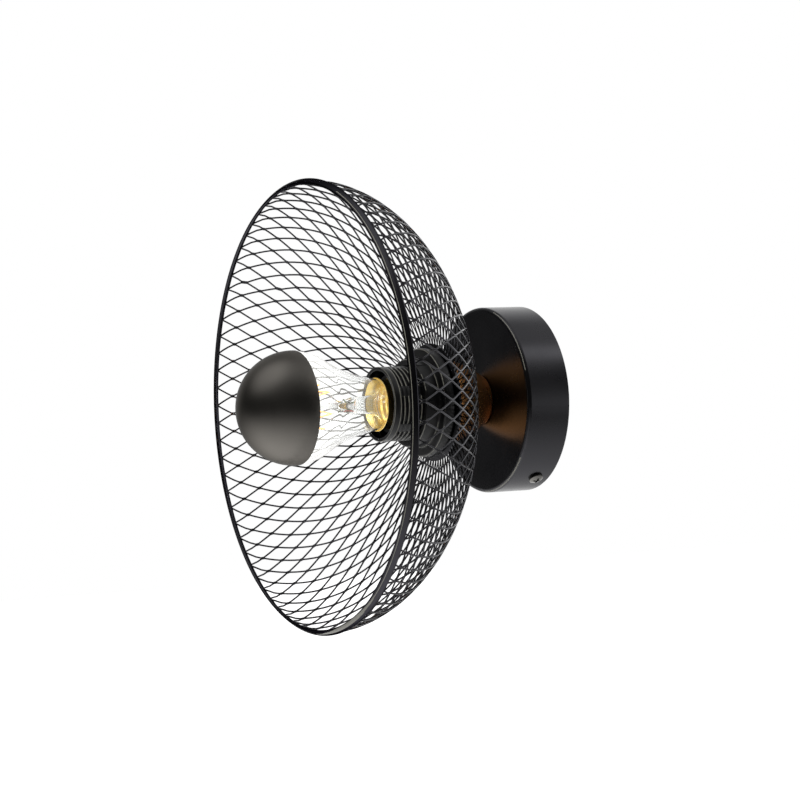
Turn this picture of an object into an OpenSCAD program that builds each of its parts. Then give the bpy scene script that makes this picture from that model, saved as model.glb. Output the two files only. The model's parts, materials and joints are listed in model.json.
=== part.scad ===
// Wall light with an expanded-metal bowl shade and a crown-coated filament bulb.
// The back of the canopy lies on the wall in the plane y = 0, the light points
// along -Y and +Z is up. The origin is the centre of the canopy's back.
// Every piece is drawn in a local frame with its axis along +z, away from the
// wall, and local +y up; outward() stands that frame up on the wall.

/* [Canopy] */
// Outer diameter of the round canopy
canopy_d = 100; // [90:1:130]
// Depth of the canopy from the wall to its face
canopy_depth = 25; // [24:0.5:40]
// Sheet thickness of the canopy
canopy_wall = 1.2; // [0.8:0.1:2]
// Rounding of the canopy's front edge
canopy_edge_r = 2; // [1:0.5:4]
// Height of the side screws above the wall
side_screw_height = 8.5; // [7:0.5:11]
// Direction of the lower side screw, seen from the front
side_screw_angle = -53; // [-80:1:-20]

/* [Wall bracket] */
// Width of the bracket's strap
bracket_w = 20; // [16:1:26]
// Thickness of the bracket's steel
bracket_t = 2; // [1.5:0.1:2.5]
// Width of the two bent ears
ear_w = 14; // [12:1:16]
// Height of the ears above the wall
ear_h = 14; // [13:0.5:18]
// Inner radius of the ears' bends
ear_bend_r = 1.5; // [1:0.5:3]
// Distance between the two wall screw holes
wall_hole_pitch = 60; // [56:1:66]
// Diameter of the wall screw holes
wall_hole_d = 5.5; // [4.5:0.5:6]

/* [Screws] */
// Thread diameter of the side screws and of the earth screw
screw_d = 4; // [3:0.5:5]
// Length of the side screws under the head
side_screw_l = 8; // [7:0.5:12]
// Head diameter of these screws
screw_head_d = 7.6; // [7:0.1:9]
// Head height of these screws
screw_head_h = 2.4; // [1.8:0.1:3]

/* [Terminal block] */
// Length of the block along the strap
block_l = 14; // [12:0.5:16]
// Width of the block across the strap
block_w = 17; // [15:0.5:20]
// Height of the block
block_h = 11; // [9:0.5:12]
// Distance between its two poles
pole_pitch = 8; // [7:0.5:9]
// Outer diameter of its brass barrels
barrel_d = 5; // [4.4:0.1:5.6]
// Diameter of its clamping screws
clamp_screw_d = 2.6; // [2:0.1:3]

/* [Wiring] */
// Diameter of the insulated leads
lead_d = 2.2; // [1.8:0.1:2.6]

/* [Nipple and nuts] */
// Thread diameter of the hollow nipple
nipple_d = 10; // [9:0.5:12]
// Wall of the nipple
nipple_wall = 1; // [0.8:0.1:1.2]
// Distance across the flats of its nuts
nut_af = 14; // [13:0.5:17]
// Height of its nuts
nut_h = 3; // [2.5:0.5:4]
// Thickness of the toothed washer
washer_t = 1; // [0.6:0.1:1.5]
// Thickness of the earth tags
tag_t = 0.8; // [0.5:0.1:1]
// Length of nipple that stands out of the rear nut
nipple_tail = 2.5; // [1:0.5:4]

/* [Bell cup] */
// Depth of the bell cup from the canopy to its mouth
bell_depth = 30.5; // [28:0.5:40]
// Diameter of the cup where it meets the canopy
bell_neck_d = 25.8; // [24:0.1:32]
// Gap between the cup's mouth and the lampholder's shoulder
bell_play = 1.1; // [0.8:0.1:3]
// Bulge of its profile over a straight cone
bell_bulge = 2; // [1:0.1:4]
// Sheet thickness of the cup
bell_wall = 1; // [0.6:0.1:1.2]

/* [Lampholder] */
// Outer diameter of the lampholder's shade thread
holder_d = 39.7; // [39:0.1:40]
// Reach of the lampholder's lip in front of the shade's seat
holder_reach = 32; // [30:0.5:40]
// Wall of the lampholder's outer sleeve
holder_wall = 2; // [1.5:0.1:2.2]
// Pitch of the shade thread
thread_pitch = 2.5; // [2:0.25:3]
// Depth of the shade thread
thread_depth = 0.9; // [0.5:0.1:1.2]
// Plain length of sleeve behind the lip
lip_l = 4; // [3:0.5:8]
// Number of flats that break the thread
thread_flats = 6; // [4:1:8]
// Width of each flat, as an angle
flat_angle = 19; // [12:1:26]
// Direction of the first flat
flat_start = 24; // [0:1:59]
// Width of the shoulder that the shade rests on, beyond the thread
shoulder_w = 2.35; // [1.8:0.05:2.8]
// Inner diameter of the metal screw liner
liner_d = 26.6; // [26.5:0.1:27]
// Thickness of the liner
liner_t = 0.4; // [0.3:0.05:0.5]
// Length of the liner
liner_l = 19; // [16:0.5:20]

/* [Shade ring] */
// Wall of the ring's collar around the shade thread
ring_wall = 3.65; // [3.2:0.05:5]
// Outer diameter of the ring's flange
ring_flange_d = 58; // [54:0.5:60]
// Thickness of the flange
ring_flange_h = 6; // [3:0.5:7]
// Whole height of the ring
ring_h = 14; // [12:0.5:18]
// Number of grip pads around the collar
ring_pads = 6; // [4:1:9]
// Width of the gaps between the pads, as an angle
pad_gap_angle = 18; // [12:1:24]

/* [Shade] */
// Outer diameter of the shade over its rim
shade_d = 238; // [220:1:260]
// Distance from the shade's seat to the plane of its rim
shade_reach = 73.3; // [70:0.1:90]
// Distance of the pole of the bowl's curve behind the shade's seat
pole_drop = 3.3; // [2.6:0.1:4.5]
// Width of the rim's oval bar
rim_bar_w = 4.1; // [3.2:0.1:5]
// Thickness of the rim's bar
rim_bar_t = 2; // [1.6:0.1:3]
// Lean of the bar against the light's axis, with its rear edge outward
rim_lean = 42; // [20:1:60]
// Outer diameter of the solid centre plate
plate_d = 63; // [61:0.5:70]
// Sheet thickness of the plate
plate_t = 1.2; // [0.8:0.1:1.5]
// Diamond cells around the bowl
mesh_cells = 74; // [36:1:75]
// Rows of crossings from the rim to the plate
mesh_rows = 12; // [8:1:12]
// Part of a half cell that the rim leaves in the first row
first_row = 0.68; // [0.4:0.01:1]
// Width of the strands
strand_w = 1.1; // [0.8:0.1:1.6]
// Thickness of the expanded sheet
mesh_t = 1.2; // [0.8:0.1:1.5]

/* [Bulb] */
// Largest diameter of the bulb
bulb_d = 60; // [56:1:64]
// Whole length of the bulb from its contact to its crown
bulb_l = 105; // [102:0.5:112]
// Diameter of the glass neck at the cap
neck_d = 27.4; // [26.8:0.1:27.6]
// Thickness of the glass
glass_t = 0.8; // [0.5:0.1:1.2]
// Thickness of the black crown coat
crown_t = 0.3; // [0.2:0.05:0.5]
// Overlap of the coat behind the bulb's widest place
crown_skirt = 1; // [0:0.5:8]
// Outer diameter of the cap's screw shell
cap_d = 26.1; // [25.8:0.1:26.2]
// Diameter of the cap's flared collar
cap_collar_d = 28.8; // [28.6:0.1:30]
// Length of the cap from the contact to its collar
cap_l = 26.5; // [25:0.5:28]
// Number of filaments
filaments = 6; // [4:1:8]
// Length of each filament
filament_l = 32; // [26:1:36]
// Diameter of the filaments
filament_d = 1.6; // [1.2:0.1:2]

/* [Fits] */
// Play of a screw or a nipple in its hole, on the radius
hole_play = 0.25; // [0.15:0.05:0.4]
// Play of a thread or a close fit, on the radius
thread_play = 0.05; // [0.03:0.01:0.08]
// Gap that pieces are left at where they only rest together
rest_gap = 0.3; // [0.2:0.05:0.4]

/* [Hidden] */
$fn = 96;

// Stations along the light's axis, as distances from the wall
z_inner = canopy_depth - canopy_wall;
z_tag = z_inner - washer_t - tag_t;
z_nut = z_tag - nut_h;
z_tail = z_nut - nipple_tail;
z_bell_floor = canopy_depth + bell_wall;
z_front_nut = z_bell_floor + nut_h;
z_seat = canopy_depth + bell_depth + rest_gap;
z_plate_front = z_seat + plate_t;
z_lip = z_seat + holder_reach;
z_rim = z_seat + shade_reach;

// Lampholder stations
shoulder_d = holder_d + 2 * shoulder_w;
bell_mouth_d = shoulder_d + 2 * (bell_wall + bell_play);
ring_collar_d = holder_d + 2 * ring_wall;
base_clear = 0.6;
base_wall = 2;
spigot_l = 4;
shoulder_t = 4;
sleeve_tail = 2;
z_base = z_front_nut + base_clear;
z_base_top = z_seat - shoulder_t - sleeve_tail - thread_play;
z_spigot = z_base_top + spigot_l;
boss_r = nipple_d / 2 + 3;
boss_l = 8;
z_cavity = z_base + boss_l + base_wall;
sleeve_r = holder_d / 2 - holder_wall;
core_t = 6;
z_core = z_spigot + rest_gap;
z_floor = z_core + core_t;
contact_t = 0.5;
z_liner = z_floor + contact_t;
liner_r = liner_d / 2 + liner_t;
core_wall = 2;

// Bulb stations
z_bulb = z_liner + 2;
z_crown = z_bulb + bulb_l;
z_globe = z_crown - bulb_d / 2;
z_collar = z_bulb + cap_l;
glass_r = bulb_d / 2 - crown_t - thread_play;

// Side screws and bracket
ear_face = canopy_d / 2 - canopy_wall - 1;
canopy_r = canopy_d / 2;
screw_r = screw_d / 2 - thread_play;

// Terminal block and earth screw, placed along the strap
block_u = 8.5;
block_mid = block_u + block_l / 2;
barrel_z = bracket_t + block_h / 2;
barrel_bore_r = barrel_d / 2 - 0.8;
clamp_u = block_l / 2 - 3.2;
clamp_head_h = 1.2;
earth_u = -14;
tag_r = 4.2;
tag_ring_r = nipple_d / 2 + 3;
crimp_d = lead_d + 1;
crimp_l = 4;
lead_gap = 1.7;
terminal_v = 9;
terminal_w = 6;
terminal_h = 5.5;
bore_play = 0.4;

// ---------- helpers ----------

// Stands the local frame up on the wall
module outward() rotate([90, 0, 0]) children();

// Turns the local frame so that its x axis lies along the bracket's strap
module along_strap() rotate(side_screw_angle) children();

// A tube between two radii, from one height to another
module tube_between(r_in, r_out, z0, z1) {
    translate([0, 0, z0]) difference() {
        cylinder(r = r_out, h = z1 - z0);
        translate([0, 0, -1]) cylinder(r = r_in, h = z1 - z0 + 2);
    }
}

// Point on a cubic curve between a and d, steered by b and c
function cubic(a, b, c, d, t) =
    pow(1 - t, 3) * a + 3 * t * pow(1 - t, 2) * b + 3 * t * t * (1 - t) * c + pow(t, 3) * d;
function cubic_run(a, b, c, d, steps) = [for (i = [0:steps]) cubic(a, b, c, d, i / steps)];

// Arc from p to q that bulges to the left by the given height
function bulged(p, q, bulge, steps) =
    let (chord = norm(q - p), r = (chord * chord / 4 + bulge * bulge) / (2 * bulge),
         half = asin(chord / 2 / r), dir = (q - p) / chord, left = [-dir[1], dir[0]],
         centre = (p + q) / 2 - left * (r - bulge))
    [for (i = [0:steps]) let (a = half * (1 - 2 * i / steps))
        centre + r * (cos(a) * left - sin(a) * dir)];

function unit(v) = v / norm(v);
function back_to_front(list) = [for (i = [len(list) - 1:-1:0]) list[i]];

// Round bar swept along a path, with its section kept square to the path
module wire(path, d, sides = 8) {
    n = len(path);
    dir = [for (i = [0:n - 1]) unit(path[min(i + 1, n - 1)] - path[max(i - 1, 0)])];
    start = unit(cross(dir[0], abs(dir[0][0]) < 0.9 ? [1, 0, 0] : [0, 1, 0]));
    side = [for (i = 0, s = start; i < n; i = i + 1,
                 s = i < n ? unit(s - (s * dir[i]) * dir[i]) : s) s];
    points = [for (i = [0:n - 1], k = [0:sides - 1]) let (a = 360 * k / sides)
        path[i] + d / 2 * (cos(a) * side[i] + sin(a) * cross(dir[i], side[i]))];
    walls = [for (i = [0:n - 2], k = [0:sides - 1])
        let (a = i * sides + k, b = i * sides + (k + 1) % sides)
        each [[a, a + sides, b], [b, a + sides, b + sides]]];
    ends = [[for (k = [0:sides - 1]) k], [for (k = [sides - 1:-1:0]) (n - 1) * sides + k]];
    polyhedron(points, concat(walls, ends));
}

// Cross recess of a screw head, cut down from z = 0
module cross_recess(span, depth) {
    for (a = [0, 90]) rotate(a) translate([-span / 2, -span / 8, -depth]) cube([span, span / 4, depth + 1]);
}

// Pan-head screw: underside of the head at z = 0, shank along -z
module pan_screw(shank_r, shank_l, head_r, head_h) {
    shoulder = head_h * 0.45;
    crown = bulged([head_r, shoulder], [0, head_h], -head_h * 0.12, 6);
    difference() {
        union() {
            rotate_extrude() polygon(concat([[0, 0], [head_r, 0]], crown));
            translate([0, 0, -shank_l]) cylinder(r = shank_r, h = shank_l);
        }
        translate([0, 0, head_h]) cross_recess(head_r * 1.15, head_h * 0.6);
    }
}

// ---------- wall bracket and canopy ----------

// Outline of the strap and its two ears, seen from the side
module bracket_outline() {
    bend = ear_bend_r + bracket_t;
    translate([-ear_face + bend, 0]) square([2 * (ear_face - bend), bracket_t]);
    for (s = [-1, 1]) scale([s, 1]) {
        translate([ear_face - bracket_t, bend]) square([bracket_t, ear_h - bend]);
        translate([ear_face - bend, bend]) intersection() {
            difference() {
                circle(r = bend);
                circle(r = ear_bend_r);
            }
            translate([0, -bend]) square(bend);
        }
    }
}

module wall_bracket() color("silver") outward() along_strap() difference() {
    rotate([90, 0, 0]) translate([0, 0, -bracket_w / 2]) linear_extrude(bracket_w) bracket_outline();
    // the ears are narrower than the strap
    for (u = [-1, 1], v = [-1, 1])
        translate([u * ear_face, v * (ear_w + bracket_w) / 2, ear_h / 2 + bracket_t])
            cube([4 * (ear_bend_r + bracket_t), bracket_w, 4 * ear_h], center = true);
    for (u = [-1, 1]) translate([u * wall_hole_pitch / 2, 0, -1]) cylinder(d = wall_hole_d, h = bracket_t + 2);
    translate([earth_u, 0, -1]) cylinder(r = screw_d / 2, h = bracket_t + 2);
    for (u = [-1, 1]) translate([u * ear_face, 0, side_screw_height])
        rotate([0, 90, 0]) cylinder(r = screw_d / 2, h = 4 * bracket_t, center = true);
}

module canopy() color("dimgray") outward() difference() {
    rotate_extrude() {
        difference() {
            union() {
                square([canopy_r - canopy_edge_r, canopy_depth]);
                square([canopy_r, canopy_depth - canopy_edge_r]);
                translate([canopy_r - canopy_edge_r, canopy_depth - canopy_edge_r])
                    intersection() {
                        circle(r = canopy_edge_r);
                        square(canopy_edge_r);
                    }
            }
            translate([0, -1]) square([canopy_r - canopy_wall, z_inner + 1]);
            translate([0, -1]) square([nipple_d / 2 + hole_play, canopy_depth + 2]);
        }
    }
    along_strap() translate([0, 0, side_screw_height]) rotate([0, 90, 0])
        cylinder(r = screw_d / 2 + hole_play, h = 2 * canopy_d, center = true);
}

module side_screws() color("gray") outward() along_strap()
    for (s = [0, 180]) rotate(s) translate([canopy_r + thread_play, 0, side_screw_height])
        rotate([0, 90, 0]) pan_screw(screw_r, side_screw_l, screw_head_d / 2, screw_head_h);

// ---------- wiring in the canopy ----------

module earth_screw() color("goldenrod") outward() along_strap()
    translate([earth_u, 0, bracket_t + tag_t])
        pan_screw(screw_r, bracket_t + tag_t, screw_head_d / 2, screw_head_h);

// Ring tag with a crimp for the lead, lying at z = 0 and reaching along -x
module ring_tag(ring_r, hole_r) {
    reach = ring_r + crimp_l;
    difference() {
        union() {
            cylinder(r = ring_r, h = tag_t);
            translate([-reach, -crimp_d / 2, 0]) cube([reach, crimp_d, tag_t]);
            translate([-reach, 0, crimp_d / 2]) rotate([0, 90, 0]) cylinder(d = crimp_d, h = crimp_l);
        }
        translate([0, 0, -1]) cylinder(r = hole_r, h = tag_t + 2);
        translate([-reach - 1, 0, crimp_d / 2]) rotate([0, 90, 0])
            cylinder(d = lead_d + 2 * thread_play, h = crimp_l);
    }
}

module earth_tags() color("tan") outward() along_strap() {
    translate([earth_u, 0, bracket_t]) ring_tag(tag_r, screw_d / 2 + hole_play);
    translate([0, 0, z_tag + tag_t]) rotate([180, 0, 0]) ring_tag(tag_ring_r, nipple_d / 2 + hole_play);
}

module earth_lead() color("yellowgreen") outward() along_strap() {
    low = [earth_u - tag_r - 1, 0, bracket_t + crimp_d / 2];
    high = [-tag_ring_r - 1, 0, z_tag + tag_t - crimp_d / 2];
    out = [-14, 0, 0];
    wire(concat([low], cubic_run(low - [crimp_l, 0, 0], low + out, high + out * 1.4,
                                 high - [crimp_l, 0, 0], 14), [high]), lead_d);
}

module terminal_block() color("whitesmoke") outward() along_strap() translate([block_mid, 0, bracket_t])
    difference() {
        union() {
            translate([-block_l / 2, -block_w / 2, 0]) cube([block_l, block_w, block_h * 0.55]);
            for (s = [-1, 1]) translate([-block_l / 2, s * pole_pitch / 2 - barrel_d / 2 - 0.9, 0])
                cube([block_l, barrel_d + 1.8, block_h]);
        }
        for (s = [-1, 1]) translate([0, s * pole_pitch / 2, block_h / 2]) {
            rotate([0, 90, 0]) cylinder(r = barrel_d / 2 + thread_play, h = block_l + 2, center = true);
            for (u = [-1, 1]) translate([u * clamp_u, 0, 0])
                cylinder(r = clamp_screw_d / 2 + hole_play, h = block_h);
        }
    }

module terminal_barrels() color("goldenrod") outward() along_strap() translate([block_mid, 0, barrel_z])
    for (s = [-1, 1]) translate([0, s * pole_pitch / 2, 0]) difference() {
        rotate([0, 90, 0]) cylinder(d = barrel_d, h = block_l - 1, center = true);
        rotate([0, 90, 0]) cylinder(r = barrel_bore_r, h = block_l, center = true);
        for (u = [-1, 1]) translate([u * clamp_u, 0, 0])
            cylinder(r = clamp_screw_d / 2, h = barrel_d);
    }

module terminal_screws() color("silver") outward() along_strap() translate([block_mid, 0, barrel_z])
    for (s = [-1, 1], u = [-1, 1]) translate([u * clamp_u, s * pole_pitch / 2, 0]) difference() {
        translate([0, 0, barrel_bore_r - 0.1])
            cylinder(r = clamp_screw_d / 2 - thread_play, h = block_h / 2 - barrel_bore_r - 0.4);
        translate([-clamp_screw_d, -0.25, block_h / 2 - 0.5 - clamp_head_h / 2])
            cube([2 * clamp_screw_d, 0.5, clamp_head_h]);
    }

// Lead from the terminal block through the nipple to a terminal of the lampholder
module supply_lead(side) {
    start = [block_u + 4, side * pole_pitch / 2, barrel_z];
    turn = [block_u - 0.5, side * pole_pitch / 2, barrel_z];
    enter = [0, side * lead_gap, z_tail + 1];
    leave = [0, side * lead_gap, z_cavity - 1];
    tip = [0, side * terminal_v, z_core - terminal_h + 2.5];
    in_canopy = cubic_run(turn, turn - [6, 0, 0], enter - [0, 0, 6], enter, 10);
    in_holder = cubic_run(leave, leave + [0, 0, 5], tip - [0, 0, 6], tip - [0, 0, 2.5], 10);
    wire(concat([start], in_canopy, in_holder, [tip]), lead_d);
}

module live_lead() color("saddlebrown") outward() along_strap() supply_lead(1);

module neutral_lead() color("royalblue") outward() along_strap() supply_lead(-1);

// ---------- nipple, nuts and bell cup ----------

module nipple() color("silver") outward()
    tube_between(nipple_d / 2 - nipple_wall, nipple_d / 2 - thread_play, z_tail, z_cavity - 0.5);

module nipple_nuts() color("silver") outward() along_strap() rotate(30)
    for (z = [z_nut, z_bell_floor]) translate([0, 0, z]) difference() {
        cylinder(r = nut_af / 2 / cos(30), h = nut_h, $fn = 6);
        translate([0, 0, -1]) cylinder(r = nipple_d / 2, h = nut_h + 2);
    }

module toothed_washer() color("silver") outward() translate([0, 0, z_inner - washer_t])
    linear_extrude(washer_t) difference() {
        circle(d = nut_af + 3);
        circle(r = nipple_d / 2 + hole_play);
        for (a = [0:30:330]) rotate(a) translate([nut_af / 2, -0.6]) square([3, 1.2]);
    }

bell_side = bulged([bell_neck_d / 2, 0], [bell_mouth_d / 2, bell_depth], -bell_bulge, 16);
module bell_cup() color("peru") outward() translate([0, 0, canopy_depth]) difference() {
    rotate_extrude() polygon(concat([[0, 0]], bell_side, [[0, bell_depth]]));
    intersection() {
        rotate_extrude() polygon(concat([for (p = bell_side) [p[0] - bell_wall, p[1]]],
                                        [[bell_mouth_d / 2 - bell_wall, bell_depth + 1], [0, bell_depth + 1],
                                         [0, 0]]));
        translate([0, 0, bell_wall]) cylinder(d = bell_mouth_d, h = bell_depth);
    }
    translate([0, 0, -1]) cylinder(r = nipple_d / 2 + hole_play, h = bell_wall + 2);
}

// ---------- lampholder ----------

module holder_base() color("black") outward() difference() {
    rotate_extrude() polygon(concat(
        [[0, z_base], [boss_r, z_base], [boss_r, z_base + boss_l - 4]],
        bulged([boss_r + 1, z_base + boss_l - 3], [holder_d / 2, z_base_top - 4], -2, 8),
        [[holder_d / 2, z_base_top], [sleeve_r - thread_play, z_base_top],
         [sleeve_r - thread_play, z_spigot], [0, z_spigot]]));
    translate([0, 0, -1]) cylinder(r = nipple_d / 2, h = z_spigot);
    translate([0, 0, z_cavity]) cylinder(r1 = boss_r, r2 = sleeve_r - base_wall, h = 5);
    translate([0, 0, z_cavity + 5]) cylinder(r = sleeve_r - base_wall, h = z_spigot);
}

module holder_sleeve() color("black") outward() {
    root_r = holder_d / 2 - thread_depth;
    thread_end = z_lip - lip_l;
    turns = floor((thread_end - z_seat) / thread_pitch);
    flat = thread_pitch / 4;
    difference() {
        union() {
            rotate_extrude() polygon(concat(
                [[0, z_base_top + thread_play], [holder_d / 2, z_base_top + thread_play],
                 [holder_d / 2, z_seat - shoulder_t], [shoulder_d / 2, z_seat - shoulder_t],
                 [shoulder_d / 2, z_seat], [root_r, z_seat]],
                [for (i = [0:turns - 1]) let (z = thread_end - (turns - i) * thread_pitch)
                    each [[root_r, z + flat], [holder_d / 2, z + 2 * flat], [holder_d / 2, z + 3 * flat],
                          [root_r, z + 4 * flat]]],
                [[holder_d / 2, thread_end + flat], [holder_d / 2, z_lip - 0.6],
                 [holder_d / 2 - 0.6, z_lip], [0, z_lip]]));
            // plain bands that break the thread
            for (i = [0:thread_flats - 1]) rotate(flat_start + i * 360 / thread_flats)
                translate([0, 0, z_seat]) intersection() {
                    cylinder(r = holder_d / 2 - 0.25, h = thread_end - z_seat + flat);
                    translate([root_r / 2, -holder_d / 2 * sin(flat_angle / 2), 0])
                        cube([holder_d, holder_d * sin(flat_angle / 2), holder_reach]);
                }
        }
        translate([0, 0, -1]) cylinder(r = sleeve_r, h = z_lip + 2);
    }
}

module holder_core() color("black") outward() difference() {
    union() {
        translate([0, 0, z_core]) cylinder(r = sleeve_r - thread_play, h = core_t);
        translate([0, 0, z_core]) cylinder(r = liner_r + core_wall, h = z_liner + liner_l + 1.5 - z_core);
    }
    translate([0, 0, z_floor]) cylinder(r = liner_r + thread_play, h = holder_reach);
    along_strap() for (s = [-1, 1]) translate([0, s * terminal_v, z_core - 1])
        translate([-2.2, -0.4, 0]) cube([4.4, 0.8, core_t + 2]);
}

module screw_liner() color("gold") outward()
    tube_between(liner_d / 2, liner_r, z_liner, z_liner + liner_l);

// Contact strip: a leg through the core and a tongue over its floor
module contact_strip(tongue) {
    translate([-2, -contact_t / 2, z_core]) cube([4, contact_t, core_t + contact_t / 2]);
    rotate([90, 0, 90]) translate([0, 0, -2]) linear_extrude(4) polygon(tongue);
}

module centre_contact() color("gold") outward() along_strap() translate([0, terminal_v, 0])
    contact_strip([[0.25, z_floor], [0.25, z_floor + contact_t], [-4, z_floor + contact_t],
                   [-6.5, z_bulb - rest_gap], [-11, z_bulb - rest_gap],
                   [-11, z_bulb - rest_gap - contact_t], [-6.7, z_bulb - rest_gap - contact_t],
                   [-4.2, z_floor]]);

module side_contact() color("gold") outward() along_strap() translate([0, -terminal_v, 0])
    contact_strip([[0.25, z_floor], [0.25, z_liner], [terminal_v - liner_r + 0.2, z_liner],
                   [terminal_v - liner_r + 0.2, z_floor]]);

module holder_terminals() color("goldenrod") outward() along_strap()
    for (s = [-1, 1]) translate([0, s * terminal_v, z_core - terminal_h / 2]) difference() {
        cube([terminal_w, terminal_w, terminal_h], center = true);
        translate([0, 0, -terminal_h]) cylinder(r = lead_d / 2 + bore_play, h = terminal_h + 1);
        rotate([0, 90, 0]) cylinder(r = clamp_screw_d / 2, h = terminal_w);
    }

module holder_screws() color("silver") outward() along_strap()
    for (s = [-1, 1]) translate([lead_d / 2 + bore_play, s * terminal_v, z_core - terminal_h / 2])
        rotate([0, 90, 0]) difference() {
            cylinder(r = clamp_screw_d / 2 - thread_play, h = 4.5);
            translate([-clamp_screw_d, -0.25, 4]) cube([2 * clamp_screw_d, 0.5, 1]);
        }

// ---------- shade ring ----------

ring_foot = 0.8;
slot_depth = 0.7;
module shade_ring() color("black") outward() translate([0, 0, z_plate_front]) difference() {
    collar_r = ring_collar_d / 2;
    flange_r = ring_flange_d / 2;
    slot_w = 2 * collar_r * sin(pad_gap_angle / 2);
    rotate_extrude() polygon([[0, 0], [flange_r - 1, 0], [flange_r, 1], [flange_r, ring_flange_h - 1.5],
        [flange_r - 1.5, ring_flange_h], [collar_r + ring_foot, ring_flange_h],
        [collar_r, ring_flange_h + ring_foot], [collar_r, ring_h - 1], [collar_r - 1, ring_h], [0, ring_h]]);
    translate([0, 0, -1]) cylinder(r = holder_d / 2 + hole_play, h = ring_h + 2);
    // flat slots that part the collar into grip pads
    for (i = [0:ring_pads - 1]) rotate(flat_start + (i + 0.5) * 360 / ring_pads)
        translate([collar_r - slot_depth, -slot_w / 2, ring_flange_h + 1.5 * ring_foot])
            cube([2, slot_w, ring_h]);
}

// ---------- shade ----------

rim_cover = 0.4;
bowl_depth = shade_reach + pole_drop;
bowl_r = shade_d / 2 - rim_cover - mesh_t / 2;
edge_r = plate_d / 2 - 0.6;
edge_phi = acos(edge_r / bowl_r);

// The bowl's curve: phi is 0 at the rim and 90 at the pole
function bowl_point(phi, lift) =
    let (n = unit([cos(phi) / bowl_r, -sin(phi) / bowl_depth]))
    [bowl_r * cos(phi), z_rim - bowl_depth * sin(phi)] + lift * n;

// Running length of the curve, so that the rows lie evenly along it
// up to the plate, and a little past it
curve_steps = 60;
curve_more = 4;
function curve_phi(i) = edge_phi * i / curve_steps;
curve_run = [for (i = 0, run = 0; i <= curve_steps + curve_more; i = i + 1,
    run = run + norm(bowl_point(curve_phi(i), 0) - bowl_point(curve_phi(i - 1), 0))) [run, curve_phi(i)]];
half_row = curve_run[curve_steps][0] / (first_row + mesh_rows - 1);
cell_angle = 360 / mesh_cells;

// Point of the sheet at a running length and an angle, lifted off the middle of the sheet
function on_bowl(run, angle, lift) =
    let (p = bowl_point(lookup(run, curve_run), lift)) [p[0] * cos(angle), p[0] * sin(angle), p[1]];

function row_run(k) = half_row * (first_row + k);
function row_r(k) = bowl_r * cos(lookup(row_run(k), curve_run));
// Half the width of a crossing around the bowl, as an angle, and along its curve
function cross_angle(k) = let (a = PI * row_r(k) / mesh_cells, l = norm([a, half_row]))
    strand_w / 2 * l / half_row / row_r(k) * 180 / PI;
function cross_run(k) = let (a = PI * row_r(k) / mesh_cells, l = norm([a, half_row]))
    min(strand_w / 2 * l / a, k == mesh_rows - 1 ? strand_w : half_row * 0.4);
function node_angle(k, i) = cell_angle * (i + (k % 2) / 2);

// Corners of a crossing: right, up, left, down on the outside, then one point inside
function crossing(k, i) =
    let (s = row_run(k), a = node_angle(k, i), da = cross_angle(k), ds = cross_run(k), t = mesh_t / 2)
    [on_bowl(s, a + da, t), on_bowl(s + ds, a, t), on_bowl(s, a - da, t), on_bowl(s - ds, a, t),
     on_bowl(s, a, -t)];
function stub(i, side) =
    let (a = node_angle(0, i) + side * first_row * cell_angle / 2, da = cross_angle(0), t = mesh_t / 2)
    [on_bowl(0, a + da, t), on_bowl(0, a - da, t), on_bowl(0, a, -t)];

RIGHT = 0;
UP = 1;
LEFT = 2;
DOWN = 3;
IN = 4;
function at(k, i, corner) = 5 * (k * mesh_cells + (i + mesh_cells) % mesh_cells) + corner;
function quad(a, b, c, d) = [[a, b, c], [a, c, d]];

function joint_faces(k, i) = quad(at(k, i, RIGHT), at(k, i, UP), at(k, i, LEFT), at(k, i, DOWN));
function right_strand(k, i) = let (j = i + k % 2) concat(
    quad(at(k, i, RIGHT), at(k + 1, j, DOWN), at(k + 1, j, LEFT), at(k, i, UP)),
    quad(at(k + 1, j, DOWN), at(k, i, RIGHT), at(k, i, IN), at(k + 1, j, IN)),
    quad(at(k, i, UP), at(k + 1, j, LEFT), at(k + 1, j, IN), at(k, i, IN)));
function left_strand(k, i) = let (j = i + k % 2 - 1) concat(
    quad(at(k, i, UP), at(k + 1, j, RIGHT), at(k + 1, j, DOWN), at(k, i, LEFT)),
    quad(at(k + 1, j, RIGHT), at(k, i, UP), at(k, i, IN), at(k + 1, j, IN)),
    quad(at(k, i, LEFT), at(k + 1, j, DOWN), at(k + 1, j, IN), at(k, i, IN)));
function last_faces(i) = let (k = mesh_rows - 1)
    [[at(k, i, UP), at(k, i, RIGHT), at(k, i, IN)], [at(k, i, LEFT), at(k, i, UP), at(k, i, IN)]];
function stub_faces(i) =
    let (x = 5 * mesh_cells * mesh_rows + 6 * i, y = x + 3) concat(
    quad(x, at(0, i, RIGHT), at(0, i, DOWN), x + 1),
    quad(at(0, i, RIGHT), x, x + 2, at(0, i, IN)),
    quad(x + 1, at(0, i, DOWN), at(0, i, IN), x + 2),
    [[x, x + 1, x + 2]],
    quad(y, at(0, i, DOWN), at(0, i, LEFT), y + 1),
    quad(at(0, i, DOWN), y, y + 2, at(0, i, IN)),
    quad(y + 1, at(0, i, LEFT), at(0, i, IN), y + 2),
    [[y, y + 1, y + 2]]);

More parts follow.
